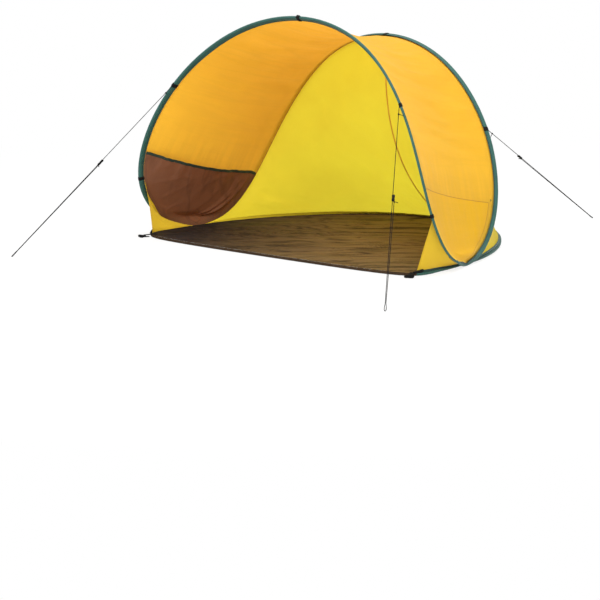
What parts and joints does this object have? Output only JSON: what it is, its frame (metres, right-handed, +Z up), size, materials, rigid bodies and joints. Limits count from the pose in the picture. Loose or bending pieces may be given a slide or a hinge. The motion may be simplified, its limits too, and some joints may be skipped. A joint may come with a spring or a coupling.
{
  "type": "pop-up beach tent",
  "caption": "Open pop-up beach tent of orange and yellow cloth on two sprung hoops in teal sleeves, with a brown floor, side pockets, corner rings and guy lines with sliding runners.",
  "frame": {"origin": "centre of the tent's plan without its guy lines, on the ground under the floor", "axes": "+Z up, +Y to the back wall, so the doorway faces -Y; +X to the right as seen from outside the doorway with the back wall behind"},
  "size_m": [1.7015, 2.0945, 0.866],
  "materials": {
    "roof_cloth": "woven polyester, satin",
    "wall_cloth": "woven polyester, satin",
    "floor_cloth": "coated woven cloth, dull",
    "pocket_cloth": "woven polyester, dull",
    "sleeve_tape": "ribbed folded tape",
    "pocket_edge_tape": "folded tape",
    "seam_tape": "folded tape",
    "black_webbing": "woven webbing",
    "black_plastic": "moulded, satin",
    "line_cord": "braided cord",
    "sprung_steel": "drawn wire",
    "plated_steel": "zinc plated"
  },
  "bodies": {
    "tent": {"canopy_hoop": "sprung_steel", "canopy_hoop_ferrule": "plated_steel", "base_hoop": "sprung_steel", "base_hoop_ferrule": "plated_steel", "canopy_sleeve": "sleeve_tape", "base_sleeve": "sleeve_tape", "front_hem": "floor_cloth", "canopy_panel": "roof_cloth", "back_wall_left": "wall_cloth", "back_wall_right": "wall_cloth", "centre_seam_tape": "seam_tape", "side_gusset_left": "wall_cloth", "side_gusset_right": "wall_cloth", "groundsheet": "floor_cloth", "pocket_left": "pocket_cloth", "pocket_right": "pocket_cloth", "pocket_tape_left": "pocket_edge_tape", "pocket_tape_right": "pocket_edge_tape", "front_apex_loop": "black_webbing", "rear_apex_loop": "black_webbing", "guy_tab_front_left": "black_webbing", "guy_tab_front_right": "black_webbing", "guy_tab_rear_left": "black_webbing", "guy_tab_rear_right": "black_webbing", "gusset_tab_left": "black_webbing", "gusset_tab_right": "black_webbing", "corner_strap_left": "black_webbing", "corner_strap_right": "black_webbing", "corner_ring_left": "black_plastic", "corner_ring_right": "black_plastic", "corner_rivet_left": "black_plastic", "corner_rivet_right": "black_plastic", "guy_line_front_left": "line_cord", "guy_line_front_right": "line_cord", "guy_line_rear_right": "line_cord", "guy_return_front_left": "line_cord", "guy_return_front_right": "line_cord", "guy_return_rear_right": "line_cord", "guy_bridle_front_left": "line_cord", "guy_bridle_front_right": "line_cord", "guy_bridle_rear_right": "line_cord"},
    "slider_front_left": {"runner_front_left": "black_plastic", "runner_knot_front_left": "line_cord"},
    "slider_front_right": {"runner_front_right": "black_plastic", "runner_knot_front_right": "line_cord"},
    "slider_rear_right": {"runner_rear_right": "black_plastic", "runner_knot_rear_right": "line_cord"}
  },
  "joints": [
    {"name": "front_left_runner_slide", "type": "slide", "parent": "tent", "child": "slider_front_left", "axis": [-0.182, -0.7483, -0.6379], "range_m": [-0.355, 0.425], "deforming": ["guy_return_front_left"]},
    {"name": "front_right_runner_slide", "type": "slide", "parent": "tent", "child": "slider_front_right", "axis": [0.4493, -0.6288, -0.6347], "range_m": [-0.368, 0.419], "deforming": ["guy_return_front_right"]},
    {"name": "rear_right_runner_slide", "type": "slide", "parent": "tent", "child": "slider_rear_right", "axis": [-0.0901, 0.8773, -0.4714], "range_m": [-0.213, 0.589], "deforming": ["guy_return_rear_right"]}
  ]
}
